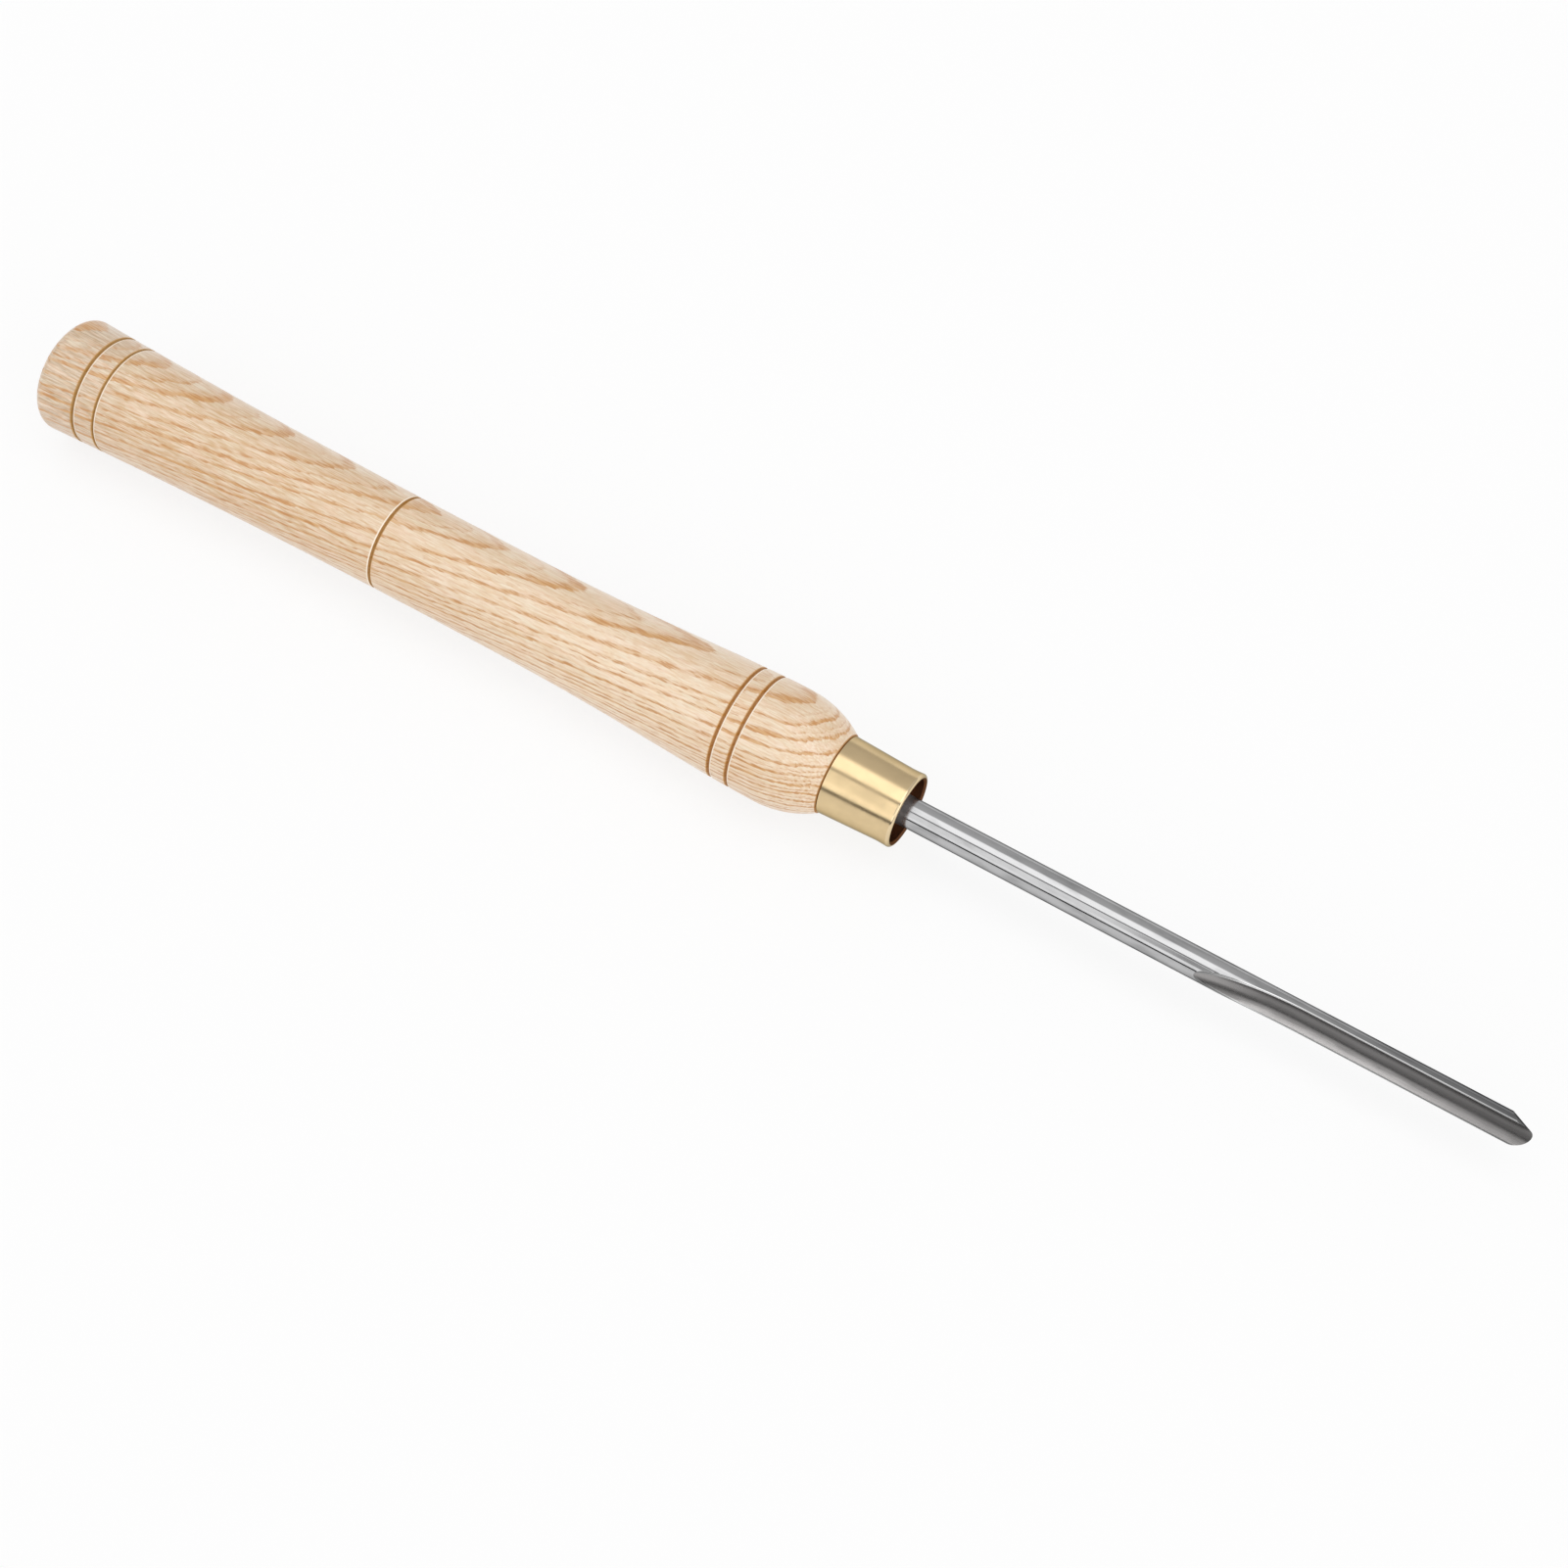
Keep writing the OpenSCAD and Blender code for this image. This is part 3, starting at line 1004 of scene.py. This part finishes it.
def studio_world():
    """Soft panels along the tool: front with a dim window, overhead, back, and one past the tip."""
    world = bpy.data.worlds.new("studio")
    bpy.context.scene.world = world
    g = Graph(world)

    def within(value, low, high):
        rise = g.step(value, low - PANEL_SOFT, low + PANEL_SOFT)
        fall = g.step(value, high - PANEL_SOFT, high + PANEL_SOFT, 1.0, 0.0)
        return g.math("MULTIPLY", rise, fall)

    def grey(level):
        return (level / top, level / top, level / top, 1.0)

    top = max(level for _, level in STUDIO_STOPS)
    way = g.add("ShaderNodeTexCoord").outputs["Generated"]
    split = g.add("ShaderNodeSeparateXYZ", {0: way})
    across = split.outputs["X"]
    front = g.math("MULTIPLY", split.outputs["Y"], -1.0)
    share = g.math("DIVIDE", g.math("ARCTAN2", split.outputs["Z"], front), math.pi)
    side = g.math("ABSOLUTE", across)
    colour = g.greys(share, [(place, level / top) for place, level in STUDIO_STOPS])
    window = g.math("MULTIPLY", within(share, *WINDOW_TURN), within(across, *WINDOW_SIDES))
    colour = g.mix(window, colour, grey(WINDOW_DIM))
    colour = g.mix(g.step(side, *PANEL_REACH), colour, grey(STUDIO_GAP))
    colour = g.mix(g.step(side, *END_PANEL_EDGE), colour, grey(FAR_PANELS))
    end = g.math("MULTIPLY", within(share, *END_PANEL_TURN), g.step(across, *END_PANEL_EDGE))
    colour = g.mix(end, colour, grey(END_PANEL))
    glow = g.add("ShaderNodeBackground", {"Color": colour, "Strength": top})
    g.add("ShaderNodeOutputWorld", {"Surface": glow.outputs[0]})


# Floor: its middle along the tool, where its flat part ends, and the sweep up to its rim
FLOOR_X = 200.0
FLAT_R = 10400.0
RIM_R = 12000.0
RIM_HEIGHT = 1000.0
FLOOR_LIFT = 0.82


def studio_floor():
    """Pale floor with a low rim. Rays that show it see it nearer to white, with its shadow."""
    material, g = new_material("pale_floor")
    path = g.add("ShaderNodeLightPath")
    seen = g.math("MAXIMUM", path.outputs["Is Camera Ray"], path.outputs["Is Glossy Ray"])
    seen = g.math("MAXIMUM", seen, path.outputs["Is Transmission Ray"])
    matte = g.add("ShaderNodeBsdfDiffuse", {"Color": FLOOR_GREY})
    white = g.add("ShaderNodeEmission", {"Color": WHITE, "Strength": 1.0})
    lift = g.math("MULTIPLY", seen, FLOOR_LIFT)
    both = g.add("ShaderNodeMixShader", {0: lift, 1: matte.outputs[0], 2: white.outputs[0]})
    g.add("ShaderNodeOutputMaterial", {"Surface": both.outputs[0]})
    angles = [math.pi / 2 * i / ROUND_STEPS for i in range(ROUND_STEPS + 1)]
    sweep = [
        (FLAT_R + (RIM_R - FLAT_R) * math.sin(a), RIM_HEIGHT * (1 - math.cos(a)))
        for a in angles
    ]
    turns = [2 * math.pi * i / AROUND for i in range(AROUND)]
    rows = [
        [(FLOOR_X + r * math.cos(t), r * math.sin(t), FLOOR_Z + up) for t in turns]
        for r, up in [(0.0, 0.0), *sweep]
    ]
    skin = Skin()
    skin.grid(rows, closed=True)
    skin.build("studio_floor", [material])


def studio_camera():
    data = bpy.data.cameras.new("camera")
    data.sensor_width = SENSOR_WIDTH
    data.sensor_fit = "HORIZONTAL"
    data.lens = LENS
    data.clip_start = CLIP_START
    camera = bpy.data.objects.new("camera", data)
    bpy.context.scene.collection.objects.link(camera)
    flat = math.cos(CAMERA_ELEVATION)
    back = Vector(
        (
            math.sin(CAMERA_AZIMUTH) * flat,
            -math.cos(CAMERA_AZIMUTH) * flat,
            math.sin(CAMERA_ELEVATION),
        )
    )
    camera.location = (Vector(CAMERA_AIM) + CAMERA_DISTANCE * back) * MM
    turn = back.to_track_quat("Z", "Y") @ Quaternion((0.0, 0.0, 1.0), CAMERA_ROLL)
    camera.rotation_euler = turn.to_euler()
    bpy.context.scene.camera = camera


# The object

handle = turned_handle(
    [
        ash_wood("ash"),
        ash_wood("ash_groove", (GROOVE_BUTT, GROOVE_FRONT)),
        # Painted highlight on the grooves' lips
        ash_wood("ash_lip_painted_highlight", (GROOVE_LIP_HIGHLIGHT, GROOVE_LIP_HIGHLIGHT)),
        # Painted shade on the grooves' shoulders
        ash_wood("ash_groove_shoulder_painted_shade", (GROOVE_EDGE_SHADE, GROOVE_EDGE_SHADE), EDGE_SHADE_STRENGTH),
    ]
)
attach(handle, "root")
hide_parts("handle")

ferrule = turned_ferrule(
    [
        turned_brass("brass", BRASS, BRASS_ROUGHNESS),
        # Painted shade in the bore
        turned_brass("brass_bore_painted_shade", BRASS_BORE_SHADE, BORE_ROUGHNESS),
        # Painted highlight on the rim
        turned_brass("brass_rim_painted_highlight", BRASS_RIM_HIGHLIGHT, RIM_ROUGHNESS),
    ]
)
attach(ferrule, "root")
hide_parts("ferrule")

bar = fluted_bar(
    [
        # Painted shade darkens the steel towards its tip
        drawn_steel("steel", STEEL, STEEL_TIP_SHADE, STEEL_ROUGHNESS, STEEL_WEAR),
        # The flute's greys are painted reflection and shade
        fluted_steel("steel_flute_painted_reflections"),
        # The bevel is painted dark as shade
        drawn_steel("steel_bevel_painted_shade", STEEL_BEVEL_SHADE, STEEL_BEVEL_SHADE, BEVEL_ROUGHNESS, BEVEL_WEAR),
        # The lips' grey is a painted highlight
        lip_steel("steel_lip_painted_highlight"),
    ]
)
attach(bar, "root")
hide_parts("gouge_bar")

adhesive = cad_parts["tang_adhesive"]
adhesive.data.materials.clear()
adhesive.data.materials.append(cured_adhesive("adhesive"))

studio_world()
studio_floor()
studio_camera()
bpy.context.scene.view_settings.view_transform = "Standard"
